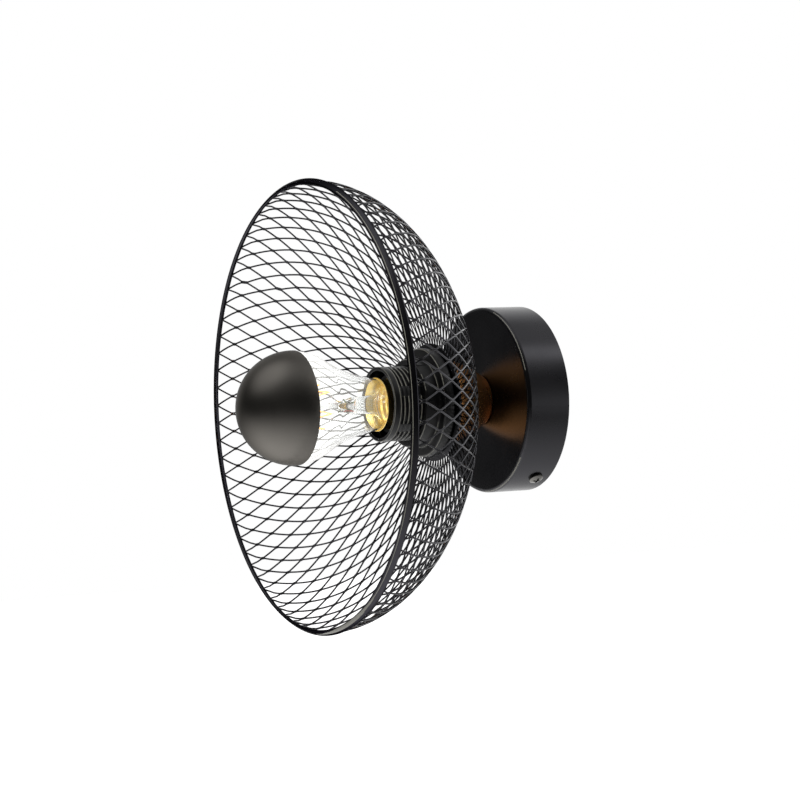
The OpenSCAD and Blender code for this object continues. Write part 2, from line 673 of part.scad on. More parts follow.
module shade_mesh() color("black") outward() {
    points = concat(
        [for (k = [0:mesh_rows - 1], i = [0:mesh_cells - 1]) each crossing(k, i)],
        [for (i = [0:mesh_cells - 1], side = [1, -1]) each stub(i, side)]);
    faces = concat(
        [for (k = [0:mesh_rows - 1], i = [0:mesh_cells - 1]) each joint_faces(k, i)],
        [for (k = [0:mesh_rows - 2], i = [0:mesh_cells - 1])
            each concat(right_strand(k, i), left_strand(k, i))],
        [for (i = [0:mesh_cells - 1]) each concat(last_faces(i), stub_faces(i))]);
    polyhedron(points, faces);
}

module shade_plate() color("black") outward() {
    lip = bowl_point(acos(plate_d / 2 / bowl_r), 0)[1];
    flat_r = ring_flange_d / 2 - 2;
    rotate_extrude() polygon([
        [holder_d / 2 + hole_play, z_seat], [flat_r, z_seat], [plate_d / 2, lip - plate_t / 2],
        [plate_d / 2, lip + plate_t / 2], [flat_r, z_plate_front],
        [holder_d / 2 + hole_play, z_plate_front]]);
}

// Oval bar that leans outward to the rear
module shade_rim() color("black") outward() {
    sides = 20;
    wide = rim_bar_w / 2 * [-sin(rim_lean), cos(rim_lean)];
    thick = rim_bar_t / 2 * [cos(rim_lean), sin(rim_lean)];
    centre = [shade_d / 2 - norm([wide[0], thick[0]]), z_rim];
    rotate_extrude() polygon([for (i = [0:sides - 1]) let (a = 360 * i / sides)
        centre + cos(a) * thick + sin(a) * wide]);
}

// ---------- bulb ----------

insulator_h = 4.5;
contact_h = 1.2;
cap_wall = 0.3;
cap_root = 0.9;
z_shell = z_bulb + contact_h + insulator_h - 1;
z_glass = z_collar - 6;

module bulb_contact() color("silver") outward() translate([0, 0, z_bulb])
    rotate_extrude() polygon(concat([[0, contact_h]], [[4.6, contact_h]],
                                    bulged([4.6, contact_h * 0.6], [0, 0], 0.15, 6)));

module bulb_insulator() color("black") outward() translate([0, 0, z_bulb + contact_h])
    rotate_extrude() polygon([[0, 0], [5.4, 0], [cap_d / 2 - 2, insulator_h - 1],
                              [cap_d / 2 - 2, insulator_h], [0, insulator_h]]);

// Screw shell with rounded rings, a plain skirt and a flared collar
cap_turns = 4;
cap_pitch = 3.6;
function cap_side(inset) = concat(
    [[cap_d / 2 - 1.6 - inset, z_shell], [cap_d / 2 - cap_root - inset, z_shell + 1]],
    [for (i = [0:cap_turns - 1], s = [0:5]) let (z = z_shell + 1 + (i + s / 6) * cap_pitch)
        [cap_d / 2 - inset - cap_root * (1 + cos(60 * s)) / 2, z]],
    [[cap_d / 2 - cap_root - inset, z_shell + 1 + cap_turns * cap_pitch],
     [cap_collar_d / 2 - inset, z_collar - 1.5], [cap_collar_d / 2 - inset, z_collar]]);
module bulb_cap() color("gold") outward()
    rotate_extrude() polygon(concat(cap_side(0), back_to_front(cap_side(cap_wall))));

// Outer line of the glass from the neck to the crown
neck_shoulder = 32;
neck_taper = 2.1;
function glass_side(inset) =
    let (start = [neck_d / 2 - inset, z_collar], r = glass_r - inset,
         join = [r * cos(neck_shoulder), z_globe - r * sin(neck_shoulder)],
         run = join[1] - z_collar, steer = run * 0.38,
         slope = [sin(neck_shoulder), cos(neck_shoulder)])
    concat([[neck_d / 2 - inset - neck_taper, z_glass]],
           cubic_run(start, start + [0.15 * steer, steer], join - steer * slope, join, 12),
           [for (i = [1:20]) let (a = -neck_shoulder + (90 + neck_shoulder) * i / 20)
               [r * cos(a), z_globe + r * sin(a)]]);
module bulb_glass() color("aliceblue", 0.4) outward()
    rotate_extrude() polygon(concat(glass_side(0), back_to_front(glass_side(glass_t))));

module bulb_crown() color("black") outward() translate([0, 0, z_globe]) {
    r = bulb_d / 2;
    low = -asin(crown_skirt / r);
    rotate_extrude() polygon(concat(
        [for (i = [0:24]) let (a = low + (90 - low) * i / 24) r * [cos(a), sin(a)]],
        [for (i = [24:-1:0]) let (a = low + (90 - low) * i / 24) (r - crown_t) * [cos(a), sin(a)]]));
}

stem_r = 3;
flare_r = neck_d / 2 - glass_t - neck_taper + 0.2;
stem_top = z_globe - 14;
hub_low = z_globe - 26;
module bulb_stem() color("aliceblue", 0.4) outward() rotate_extrude()
    polygon([[0, z_glass + 1], [flare_r, z_glass + 1], [flare_r, z_glass + 2.2], [stem_r + 1, z_glass + 9],
             [stem_r, z_glass + 16], [stem_r, stem_top], [stem_r - 1, stem_top + 2], [0, stem_top + 2]]);

// Ends of the filaments, from a small ring near the stem to a wide one in the globe
low_ring = 5;
high_ring = 11;
filament_rise = sqrt(filament_l * filament_l - pow(high_ring - low_ring, 2));
module each_filament() for (i = [0:filaments - 1]) rotate((i + 0.5) * 360 / filaments) children();

module bulb_filaments() color("orange") outward() translate([0, 0, hub_low]) each_filament()
    translate([low_ring, 0, 0]) rotate([0, atan2(high_ring - low_ring, filament_rise), 0])
        cylinder(d = filament_d, h = filament_l, $fn = 24);

module bulb_wires() color("silver") outward() translate([0, 0, hub_low]) each_filament() {
    wire([[stem_r + 0.2, 0, -3], [low_ring - 0.4, 0, -0.7]], 0.6, 6);
    wire([[1, 0, stem_top - hub_low + 2.1], [high_ring - 5, 0, filament_rise - 2.5],
          [high_ring - 0.4, 0, filament_rise + 0.7]], 0.6, 6);
}

wall_bracket();
canopy();
side_screws();
earth_screw();
earth_tags();
earth_lead();
terminal_block();
terminal_barrels();
terminal_screws();
live_lead();
neutral_lead();
nipple();
nipple_nuts();
toothed_washer();
bell_cup();
holder_base();
holder_sleeve();
holder_core();
screw_liner();
centre_contact();
side_contact();
holder_terminals();
holder_screws();
shade_plate();
shade_mesh();
shade_rim();
shade_ring();
bulb_contact();
bulb_insulator();
bulb_cap();
bulb_glass();
bulb_crown();
bulb_stem();
bulb_wires();
bulb_filaments();
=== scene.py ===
"""Looks of the cage wall light: camera, studio, finishes and the finely modelled pieces.

Everything is in metres in the part's own frame: the wall is the plane y = 0, the light
points along -Y and +Z is up. The pieces are worked out in mm, lathed ones as (radius,
distance from the wall), and turned into metres as their points are made.
"""

import json
import math

import bmesh
import bpy
from mathutils import Matrix, Vector


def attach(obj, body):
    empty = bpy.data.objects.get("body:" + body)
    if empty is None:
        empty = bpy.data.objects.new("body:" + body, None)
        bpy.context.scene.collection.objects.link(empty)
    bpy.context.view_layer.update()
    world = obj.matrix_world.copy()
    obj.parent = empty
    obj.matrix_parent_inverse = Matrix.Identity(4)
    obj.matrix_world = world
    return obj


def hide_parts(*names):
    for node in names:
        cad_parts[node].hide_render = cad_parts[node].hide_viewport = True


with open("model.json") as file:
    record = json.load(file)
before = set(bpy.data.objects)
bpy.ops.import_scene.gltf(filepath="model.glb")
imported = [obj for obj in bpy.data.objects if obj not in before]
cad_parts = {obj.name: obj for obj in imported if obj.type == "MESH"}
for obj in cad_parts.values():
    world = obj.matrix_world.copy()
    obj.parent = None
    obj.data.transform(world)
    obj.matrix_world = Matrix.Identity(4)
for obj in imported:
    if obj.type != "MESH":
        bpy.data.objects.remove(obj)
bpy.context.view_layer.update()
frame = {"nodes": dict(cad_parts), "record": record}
MM = 0.001


# ---------------------------------------------------------------- camera and studio

AZIMUTH = math.radians(61.9)      # the photograph looks at the light's right side
ELEVATION = math.radians(4.4)
CAMERA_DISTANCE = 1.378           # from the wall end of the light's axis
CAMERA_RIGHT = -0.0658            # sideways step of the camera, to the photograph's framing
CAMERA_UP = -0.0008
FOCAL_PX = 2528                   # focal length in pixels of the 800 pixel wide picture
PICTURE_PX = 800
SENSOR = 36.0


def make_camera():
    back = Vector((math.sin(AZIMUTH) * math.cos(ELEVATION),
                   -math.cos(AZIMUTH) * math.cos(ELEVATION), math.sin(ELEVATION)))
    right = Vector((math.cos(AZIMUTH), math.sin(AZIMUTH), 0))
    up = back.cross(right)
    data = bpy.data.cameras.new("camera")
    data.sensor_width = SENSOR
    data.lens = SENSOR * FOCAL_PX / PICTURE_PX
    data.clip_start, data.clip_end = 0.05, 50
    camera = bpy.data.objects.new("camera", data)
    camera.matrix_world = Matrix((
        (right.x, up.x, back.x, 0), (right.y, up.y, back.y, 0), (right.z, up.z, back.z, 0), (0, 0, 0, 1)))
    camera.location = back * CAMERA_DISTANCE + right * CAMERA_RIGHT + up * CAMERA_UP
    bpy.context.scene.collection.objects.link(camera)
    bpy.context.scene.camera = camera


def link(tree, *pairs):
    for out, into in pairs:
        tree.links.new(out, into)


# What gloss sees of the studio, as soft lights: azimuth (0 = +X, 90 = away from the wall),
# elevation and reach in degrees, and strength
BACKDROP = (208, 0, 62, 1.0)
PANELS = [(0, 90, 42, 0.24), (120, 55, 40, 0.95), (60, 55, 40, 0.10), (240, 55, 40, 0.25),
          (300, 55, 40, 0.37), (240, 27, 36, 0.60), (245, 0, 30, 1.0), (270, 3, 30, 1.7),
          (300, 3, 30, 0.95), (317, -4, 16, 1.0), (296, 42, 15, 2.6)]
ROOM_LEVEL = 0.045                # of the dark room round the soft lights
FILL_LEVEL = 0.45                 # what the world gives matt surfaces
FLOOR_HALF, FLOOR_LOW, FLOOR_GREY = 2.0, -0.42, 0.86
FLOOR_LIFT = 0.8                  # makes the floor white for the camera and clear glass
# What gloss sees of the floor: soft pools of light as place and strength, over a base
FLOOR_POOLS = [((-0.15, -0.25), 1.4), ((-1.0, 0.5), 1.0)]
POOL_REACH, POOL_BASE = 0.55, 0.10
LAMPS_LOOK_AT = (0, -0.08, 0)     # the middle of the light


def background(tree, strength):
    """A white background of one strength."""
    node = tree.nodes.new("ShaderNodeBackground")
    node.inputs["Color"].default_value = (1, 1, 1, 1)
    node.inputs["Strength"].default_value = strength
    return node


def ray_kinds(tree):
    """The light path's node, and 1 for rays of the camera and those through clear glass."""
    path = tree.nodes.new("ShaderNodeLightPath")
    seen = tree.nodes.new("ShaderNodeMath")
    seen.operation = "MAXIMUM"
    link(tree, (path.outputs["Is Camera Ray"], seen.inputs[0]),
         (path.outputs["Is Transmission Ray"], seen.inputs[1]))
    return path, seen.outputs[0]


def make_world():
    """White for the camera and clear glass; a backdrop and soft lights in a dark room for gloss."""
    world = bpy.data.worlds.new("studio")
    bpy.context.scene.world = world
    world.use_nodes = True
    tree = world.node_tree
    tree.nodes.clear()
    new = tree.nodes.new
    out = new("ShaderNodeOutputWorld")
    coord = new("ShaderNodeTexCoord")
    total = None
    for turn, rise, reach, strength in [BACKDROP, *PANELS]:
        turn, rise = math.radians(turn), math.radians(rise)
        facing = new("ShaderNodeVectorMath")
        facing.operation = "DOT_PRODUCT"
        facing.inputs[1].default_value = (math.cos(turn) * math.cos(rise), -math.sin(turn) * math.cos(rise),
                                          math.sin(rise))
        edge = new("ShaderNodeMapRange")
        edge.interpolation_type = "SMOOTHSTEP"
        edge.inputs["From Min"].default_value = math.cos(math.radians(reach))
        edge.inputs["To Max"].default_value = strength
        add = new("ShaderNodeMath")
        add.inputs[1].default_value = ROOM_LEVEL
        link(tree, (coord.outputs["Generated"], facing.inputs[0]),
             (facing.outputs["Value"], edge.inputs["Value"]), (edge.outputs["Result"], add.inputs[0]))
        if total:
            link(tree, (total.outputs[0], add.inputs[1]))
        total = add
    glossy, fill, white = background(tree, 1), background(tree, FILL_LEVEL), background(tree, 1)
    path, seen = ray_kinds(tree)
    by_gloss = new("ShaderNodeMixShader")
    by_camera = new("ShaderNodeMixShader")
    link(tree, (total.outputs[0], glossy.inputs["Strength"]),
         (path.outputs["Is Glossy Ray"], by_gloss.inputs["Fac"]),
         (fill.outputs[0], by_gloss.inputs[1]), (glossy.outputs[0], by_gloss.inputs[2]),
         (seen, by_camera.inputs["Fac"]), (by_gloss.outputs[0], by_camera.inputs[1]),
         (white.outputs[0], by_camera.inputs[2]), (by_camera.outputs[0], out.inputs["Surface"]))


def make_softbox(name, at, size, watts):
    """A soft area lamp turned to the light."""
    data = bpy.data.lights.new(name, "AREA")
    data.shape = "RECTANGLE"
    data.size, data.size_y = size
    data.energy = watts
    lamp = bpy.data.objects.new(name, data)
    lamp.location = at
    lamp.rotation_mode = "QUATERNION"
    lamp.rotation_quaternion = (Vector(LAMPS_LOOK_AT) - Vector(at)).to_track_quat("-Z", "Y")
    lamp.visible_glossy = False       # gloss sees the soft lights of the world
    bpy.context.scene.collection.objects.link(lamp)


def make_floor():
    """A pale floor with the light's shadow, white for the camera; gloss sees pools of light on it."""
    half, low = FLOOR_HALF, FLOOR_LOW
    mesh = bpy.data.meshes.new("floor")
    mesh.from_pydata([(-half, -half, low), (half, -half, low), (half, half, low), (-half, half, low)], [],
                     [(0, 1, 2, 3)])
    floor = bpy.data.objects.new("floor", mesh)
    bpy.context.scene.collection.objects.link(floor)
    material = bpy.data.materials.new("pale_floor")
    material.use_nodes = True
    tree = material.node_tree
    tree.nodes.clear()
    new = tree.nodes.new
    out = new("ShaderNodeOutputMaterial")
    paint = new("ShaderNodeBsdfDiffuse")
    paint.inputs["Color"].default_value = (FLOOR_GREY, FLOOR_GREY, FLOOR_GREY, 1)
    glow = new("ShaderNodeEmission")
    glow.inputs["Color"].default_value = (1, 1, 1, 1)
    path, seen = ray_kinds(tree)
    lift = new("ShaderNodeMath")
    lift.operation = "MULTIPLY"
    lift.inputs[1].default_value = FLOOR_LIFT
    both = new("ShaderNodeAddShader")
    coord = new("ShaderNodeTexCoord")
    total = None
    for place, strength in FLOOR_POOLS:
        away = new("ShaderNodeVectorMath")
        away.operation = "DISTANCE"
        away.inputs[1].default_value = (*place, low)
        square = new("ShaderNodeMath")
        square.operation = "MULTIPLY"
        fall = new("ShaderNodeMath")
        fall.operation = "ADD"
        fall.inputs[1].default_value = POOL_REACH ** 2
        pool = new("ShaderNodeMath")
        pool.operation = "DIVIDE"
        pool.inputs[0].default_value = strength * POOL_REACH ** 2
        add = new("ShaderNodeMath")
        add.inputs[1].default_value = POOL_BASE
        link(tree, (coord.outputs["Object"], away.inputs[0]), (away.outputs["Value"], square.inputs[0]),
             (away.outputs["Value"], square.inputs[1]), (square.outputs[0], fall.inputs[0]),
             (fall.outputs[0], pool.inputs[1]), (pool.outputs[0], add.inputs[0]))
        if total:
            link(tree, (total.outputs[0], add.inputs[1]))
        total = add
    gloss = new("ShaderNodeEmission")
    by_gloss = new("ShaderNodeMixShader")
    link(tree, (seen, lift.inputs[0]), (lift.outputs[0], glow.inputs["Strength"]),
         (paint.outputs[0], both.inputs[0]), (glow.outputs[0], both.inputs[1]),
         (total.outputs[0], gloss.inputs["Strength"]),
         (path.outputs["Is Glossy Ray"], by_gloss.inputs["Fac"]), (both.outputs[0], by_gloss.inputs[1]),
         (gloss.outputs[0], by_gloss.inputs[2]), (by_gloss.outputs[0], out.inputs["Surface"]))
    mesh.materials.append(material)


make_camera()
make_world()
make_floor()
make_softbox("ceiling_box", (0.5, -0.6, 1.7), (1.6, 1.2), 26)
make_softbox("front_box", (1.9, -1.9, 0.9), (0.9, 0.9), 12)
make_softbox("low_box", (0.9, -0.8, -0.38), (1.4, 0.5), 4)
bpy.context.scene.view_settings.view_transform = "Standard"


# ---------------------------------------------------------------- finishes

ROUGH_SWING = 0.06
PAINTED_GLOW_FROM, PAINTED_GLOW_FULL = 92, 132    # mm from the wall, along the bulb's glass, where its painted warm glow starts and is full


def finish_material(name, colour, roughness, metallic=0, grain=900, bump=0, tint_swing=0, edge_tint=1):
    """A surface with a fine grain: the noise moves the roughness, the colour a little, and the height."""
    material = bpy.data.materials.new(name)
    material.use_nodes = True
    tree = material.node_tree
    new = tree.nodes.new
    shader = tree.nodes["Principled BSDF"]
    shader.inputs["Base Color"].default_value = (*colour, 1)
    shader.inputs["Metallic"].default_value = metallic
    shader.inputs["Specular Tint"].default_value = (edge_tint, edge_tint, edge_tint, 1)
    coord = new("ShaderNodeTexCoord")
    fine = new("ShaderNodeTexNoise")
    fine.inputs["Scale"].default_value = grain
    fine.inputs["Detail"].default_value = 3
    broad = new("ShaderNodeTexNoise")
    broad.inputs["Scale"].default_value = 28
    broad.inputs["Detail"].default_value = 4
    swing = new("ShaderNodeMapRange")
    swing.inputs["From Min"].default_value = 0.3
    swing.inputs["From Max"].default_value = 0.7
    swing.inputs["To Min"].default_value = roughness - ROUGH_SWING
    swing.inputs["To Max"].default_value = roughness + ROUGH_SWING
    link(tree, (coord.outputs["Object"], fine.inputs["Vector"]),
         (coord.outputs["Object"], broad.inputs["Vector"]), (broad.outputs["Fac"], swing.inputs["Value"]),
         (swing.outputs["Result"], shader.inputs["Roughness"]))
    if tint_swing:
        tint = new("ShaderNodeMix")
        tint.data_type = "RGBA"
        tint.inputs["A"].default_value = (*[c * (1 - tint_swing) for c in colour], 1)
        tint.inputs["B"].default_value = (*[min(1, c * (1 + tint_swing)) for c in colour], 1)
        link(tree, (broad.outputs["Fac"], tint.inputs["Factor"]),
             (tint.outputs["Result"], shader.inputs["Base Color"]))
    if bump:
        height = new("ShaderNodeBump")
        height.inputs["Strength"].default_value = bump
        height.inputs["Distance"].default_value = 0.05 * MM
        link(tree, (fine.outputs["Fac"], height.inputs["Height"]),
             (height.outputs["Normal"], shader.inputs["Normal"]))
    return material


def glass_material(name, wave, painted_glow=0):
    """Clear glass with soft waves; near the lit filament it carries a faint painted warm glow."""
    material = bpy.data.materials.new(name)
    material.use_nodes = True
    tree = material.node_tree
    new = tree.nodes.new
    shader = tree.nodes["Principled BSDF"]
    shader.inputs["Base Color"].default_value = (0.985, 0.995, 0.99, 1)
    shader.inputs["Roughness"].default_value = 0.0
    shader.inputs["Transmission Weight"].default_value = 1.0
    shader.inputs["IOR"].default_value = 1.46
    coord = new("ShaderNodeTexCoord")
    waves = new("ShaderNodeTexNoise")
    waves.inputs["Scale"].default_value = 85
    waves.inputs["Detail"].default_value = 0
    height = new("ShaderNodeBump")
    height.inputs["Strength"].default_value = wave
    height.inputs["Distance"].default_value = 0.5 * MM
    link(tree, (coord.outputs["Object"], waves.inputs["Vector"]),
         (waves.outputs["Fac"], height.inputs["Height"]), (height.outputs["Normal"], shader.inputs["Normal"]))
    # painted warm glow on the glass, stronger away from the wall
    if painted_glow:
        place = new("ShaderNodeSeparateXYZ")
        near = new("ShaderNodeMapRange")
        near.inputs["From Min"].default_value = -PAINTED_GLOW_FROM * MM
        near.inputs["From Max"].default_value = -PAINTED_GLOW_FULL * MM
        near.inputs["To Min"].default_value = painted_glow * 0.15
        near.inputs["To Max"].default_value = painted_glow
        shader.inputs["Emission Color"].default_value = (1.0, 0.96, 0.90, 1)
        link(tree, (coord.outputs["Object"], place.inputs[0]), (place.outputs["Y"], near.inputs["Value"]),
             (near.outputs["Result"], shader.inputs["Emission Strength"]))
    return material


def lit_material(name, colour, glow, strength, **finish):
    """A finish that glows: the filament, and the brass with a painted glow standing in for the filament's
    light on it.
    """
    material = finish_material(name, colour, **finish)
    shader = material.node_tree.nodes["Principled BSDF"]
    shader.inputs["Emission Color"].default_value = (*glow, 1)
    shader.inputs["Emission Strength"].default_value = strength
    return material


def striped_material(name, first, second):
    """Lead insulation with a second colour along it."""
    material = finish_material(name, first, 0.4)
    tree = material.node_tree
    shader = tree.nodes["Principled BSDF"]
    coord = tree.nodes.new("ShaderNodeTexCoord")
    wave = tree.nodes.new("ShaderNodeTexWave")
    wave.inputs["Scale"].default_value = 90
    pick = tree.nodes.new("ShaderNodeMix")
    pick.data_type = "RGBA"
    pick.inputs["A"].default_value = (*first, 1)
    pick.inputs["B"].default_value = (*second, 1)
    link(tree, (coord.outputs["Object"], wave.inputs["Vector"]), (wave.outputs["Fac"], pick.inputs["Factor"]),
         (pick.outputs["Result"], shader.inputs["Base Color"]))
    return material


# colour and roughness of the plain finishes, and what else each has
PLAIN_FINISHES = {
    "black_metal": ((0.052, 0.0515, 0.056), 0.25, {"metallic": 1, "grain": 1400, "bump": 0.25,
                                                   "edge_tint": 0.75}),
    "rim_metal": ((0.045, 0.044, 0.050), 0.27, {"metallic": 1, "grain": 1400, "bump": 0.25,
                                                "edge_tint": 0.25}),
    "crown_coat": ((0.150, 0.141, 0.128), 0.36, {"metallic": 1, "grain": 1800, "bump": 0.2,
                                                 "edge_tint": 0.45}),
    # painted highlight: a pale colour put on edges and lines where highlights fall
    "painted_highlight": ((0.13, 0.126, 0.105), 0.38, {"grain": 1400, "bump": 0.15, "tint_swing": 0.3}),
    "black_plastic": ((0.0014, 0.0014, 0.0016), 0.30, {"grain": 2200, "bump": 0.35}),
    "copper_metal": ((0.95, 0.44, 0.16), 0.26, {"metallic": 0.98, "grain": 1500, "bump": 0.1,
                                                "tint_swing": 0.12}),
    "cap_brass": ((0.90, 0.66, 0.25), 0.2, {"metallic": 1, "tint_swing": 0.08}),
    "brass": ((0.80, 0.58, 0.24), 0.24, {"metallic": 1, "tint_swing": 0.1}),
    "tinned_copper": ((0.72, 0.70, 0.68), 0.3, {"metallic": 1, "tint_swing": 0.1}),
    "galvanised_steel": ((0.60, 0.61, 0.62), 0.36, {"metallic": 1, "tint_swing": 0.15}),
    "screw_steel": ((0.16, 0.155, 0.145), 0.25, {"metallic": 1, "tint_swing": 0.1}),
    "white_nylon": ((0.80, 0.80, 0.77), 0.45, {"bump": 0.2}),
    "brown_lead": ((0.13, 0.05, 0.022), 0.4, {"bump": 0.1}),
    "blue_lead": ((0.02, 0.10, 0.42), 0.4, {"bump": 0.1}),
    "black_glass": ((0.01, 0.01, 0.01), 0.12, {"bump": 0.1}),
    "seal_green": ((0.10, 0.14, 0.03), 0.35, {"tint_swing": 0.2}),
    "seal_red": ((0.70, 0.06, 0.03), 0.35, {"tint_swing": 0.2}),
}
FINISHES = {name: finish_material(name, colour, roughness, **more)
            for name, (colour, roughness, more) in PLAIN_FINISHES.items()}
FINISHES["clear_glass"] = glass_material("clear_glass", 0.12, 0.10)
FINISHES["stem_glass"] = glass_material("stem_glass", 0.02)
FINISHES["green_yellow_lead"] = striped_material("green_yellow_lead", (0.06, 0.30, 0.05), (0.85, 0.72, 0.04))
# the inside of the bulb's cap gets a painted warm glow
FINISHES["brass_painted_glow"] = lit_material("brass_painted_glow", (0.88, 0.64, 0.17), (1.0, 0.68, 0.09), 0.25,
                                     roughness=0.36, metallic=1, tint_swing=0.12)
FINISHES["filament"] = lit_material("filament_glow", (0.95, 0.45, 0.08), (1.0, 0.42, 0.08), 2.0,
                                    roughness=0.5, grain=2000, bump=0.2)

node_slot = {row["node"]: row["material_slot"] for row in frame["record"]["subparts"]}
for node, piece in frame["nodes"].items():
    piece.data.materials.clear()
    piece.data.materials.append(FINISHES[node_slot[node]])


# ---------------------------------------------------------------- drawing in mesh code

def polar(radius, away, angle):
    """Point at a radius and an angle round the light's axis, at a distance from the wall, all from mm."""
    return (radius * math.cos(angle) * MM, -away * MM, radius * math.sin(angle) * MM)


def add_piece(name, points, faces, slot, body, replaces=None, sharp=35.0, finish=None, painted_highlight_at=None):
    """A finished mesh piece; the optional mask function (radius, away, degrees) picks the faces that get the
    painted highlight finish.
    """
    mesh = bpy.data.meshes.new(name)
    mesh.from_pydata(points, [], faces)
    work = bmesh.new()
    work.from_mesh(mesh)
    bmesh.ops.remove_doubles(work, verts=work.verts, dist=0.0005 * MM)
    bmesh.ops.recalc_face_normals(work, faces=work.faces)
    work.to_mesh(mesh)
    work.free()
    mesh.shade_smooth()
    mesh.set_sharp_from_angle(angle=math.radians(sharp))
    mesh.materials.append(FINISHES[finish or slot])
    # faces picked by the mask get the painted highlight finish
    if painted_highlight_at:
        mesh.materials.append(FINISHES["painted_highlight"])
        for face in mesh.polygons:
            x, y, z = face.center / MM
            face.material_index = int(painted_highlight_at(math.hypot(x, z), -y, math.degrees(math.atan2(z, x))))
    piece = bpy.data.objects.new(name, mesh)
    bpy.context.scene.collection.objects.link(piece)
    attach(piece, body)
    if replaces:
        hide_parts(replaces)
    return piece


def grid_faces(rows, columns, close_rows=True, close_columns=True):
    """Quads of a grid of points stored row by row, joined end to end where closed."""
    return [(i * columns + k, (i + 1) % rows * columns + k,
             (i + 1) % rows * columns + (k + 1) % columns, i * columns + (k + 1) % columns)
            for i in range(rows if close_rows else rows - 1)
            for k in range(columns if close_columns else columns - 1)]


def swept_faces(rows, sides):
    """Faces of a section carried along a path, closed at both ends."""
    faces = grid_faces(rows, sides, close_rows=False)
    faces.append(tuple(range(sides - 1, -1, -1)))
    faces.append(tuple((rows - 1) * sides + k for k in range(sides)))
    return faces


def lathe(profile, steps, closed=True):
    """Points and faces of a profile of (radius, distance from the wall) turned round the light's axis."""
    points = [polar(radius, away, math.tau * i / steps) for i in range(steps) for radius, away in profile]
    return points, grid_faces(steps, len(profile), close_columns=closed)


def rounded(corners, steps=5):
    """A closed profile of (radius, away, rounding) with its corners turned into arcs."""
    line = []
    for i, (x, y, rounding) in enumerate(corners):
        here = Vector((x, y))
        before = Vector(corners[i - 1][:2]) - here
        after = Vector(corners[(i + 1) % len(corners)][:2]) - here
        if not rounding:
            line.append((x, y))
            continue
        reach = min(rounding, before.length * 0.49, after.length * 0.49)
        start, stop = here + before.normalized() * reach, here + after.normalized() * reach
        for k in range(steps + 1):
            t = k / steps
            spot = start * (1 - t) ** 2 + here * 2 * t * (1 - t) + stop * t * t
            line.append((spot.x, spot.y))
    return line


def arc_line(first, last, bulge, steps):
    """Points on the arc from first to last that bulges outward by the given height."""
    first, last = Vector(first), Vector(last)
    chord = last - first
    along = chord.normalized()
    outward = Vector((along.y, -along.x))
    radius = (chord.length_squared / 4 + bulge * bulge) / (2 * bulge)
    half = math.asin(chord.length / 2 / radius)
    centre = (first + last) / 2 - outward * (radius - bulge)
    angles = [half * (2 * i / steps - 1) for i in range(steps + 1)]
    return [tuple(centre + radius * (math.cos(a) * outward + math.sin(a) * along)) for a in angles]


def arc_about(middle, radius, start, stop, steps):
    """Points on an arc round a middle, between two angles in radians."""
    angles = [start + (stop - start) * i / steps for i in range(steps + 1)]
    return [(middle[0] + radius * math.cos(a), middle[1] + radius * math.sin(a)) for a in angles]


def off_sixth(degrees, first):
    """Degrees to the nearest of six places round the axis."""
    return abs((degrees - first + 30) % 60 - 30)


def smooth_step(low, high, value):
    """0 below low, 1 above high and a smooth rise between them."""
    t = min(1.0, max(0.0, (value - low) / (high - low)))
    return t * t * (3 - 2 * t)


def tube(path, radius, sides):
    """Points and faces of a round wire along a path of points in mm, closed at both ends."""
    path = [Vector(p) for p in path]
    points, side = [], None
    for i, spot in enumerate(path):
        along = (path[min(i + 1, len(path) - 1)] - path[max(i - 1, 0)]).normalized()
        if side is None:
            side = along.orthogonal().normalized()
        side = (side - along * side.dot(along)).normalized()
        other = along.cross(side)
        for k in range(sides):
            turn = math.tau * k / sides
            points.append((spot + radius * (math.cos(turn) * side + math.sin(turn) * other)) * MM)
    return points, swept_faces(len(path), sides)


def joined(parts):
    """Several (points, faces) as one."""
    points, faces = [], []
    for some_points, some_faces in parts:
        base = len(points)
        points += some_points
        faces += [tuple(base + k for k in face) for face in some_faces]
    return points, faces


# ---------------------------------------------------------------- shade of expanded metal

BOWL_R, BOWL_DEPTH, RIM_AWAY = 118.0, 76.6, 129.1   # half ellipse of the sheet's middle
PLATE_R = 31.5
CELLS, HALF_ROW = 74, 9.736         # diamonds around, and half a diamond along the curve
ROWS = 13                           # rows of crossings from the rim to the plate
FIRST_ROW, ROW_SKEW = 0.79, 0.24    # first crossing from the rim, in half rows: the rim cuts the sheet askew
STRAND_W, STRAND_T, STRAND_EDGE = 0.85, 0.78, 0.19   # width, thickness and chamfer
THIN_SHARE, THIN_R, FULL_R = 0.60, 28, 62   # strands are thinner near the plate and full further out
BOND, SEAM_BOND = 1.8, 3.5          # length of the bonds where strands meet
BOND_STEP = 0.47                    # of a strand's width, from the bond's middle to the strand's
LINK_PIECES = 3                     # straight pieces between two bonds, to follow the bowl
SEAM_CELL = 30                      # the sheet's ends are welded at this cell
CELL_STRETCH, SEAM_WIDTH, FIRST_CELL = 1.0096, 0.86, 0.10
STRAND_END = 0.5                    # the strands end on the inner side of the rim
RIM_TUCK, TUCK_RUN = 1.15, 6.0      # how far the strands' ends are drawn in, and over what length
UNDER_PLATE = 1.5                   # the strands' other ends, inside the plate's edge

CURVE_END, CURVE_STEPS = math.radians(80), 1600
curve = []                          # (running length, radius, distance from the wall) from the rim inward
for step in range(CURVE_STEPS + 1):
    phi = CURVE_END * step / CURVE_STEPS
    spot = (BOWL_R * math.cos(phi), RIM_AWAY - BOWL_DEPTH * math.sin(phi))
    run = curve[-1][0] + math.dist(spot, curve[-1][1:]) if curve else 0.0
    curve.append((run, *spot))
plate_run = next(run for run, radius, away in curve if radius < PLATE_R)


def on_curve(run):
    """Radius and distance from the wall at a running length."""
    low, high = 0, len(curve) - 1
    while high - low > 1:
        middle = (low + high) // 2
        if curve[middle][0] <= run:
            low = middle
        else:
            high = middle
    t = (run - curve[low][0]) / (curve[high][0] - curve[low][0])
    radius, away = (curve[low][i] * (1 - t) + curve[high][i] * t for i in (1, 2))
    return radius, away


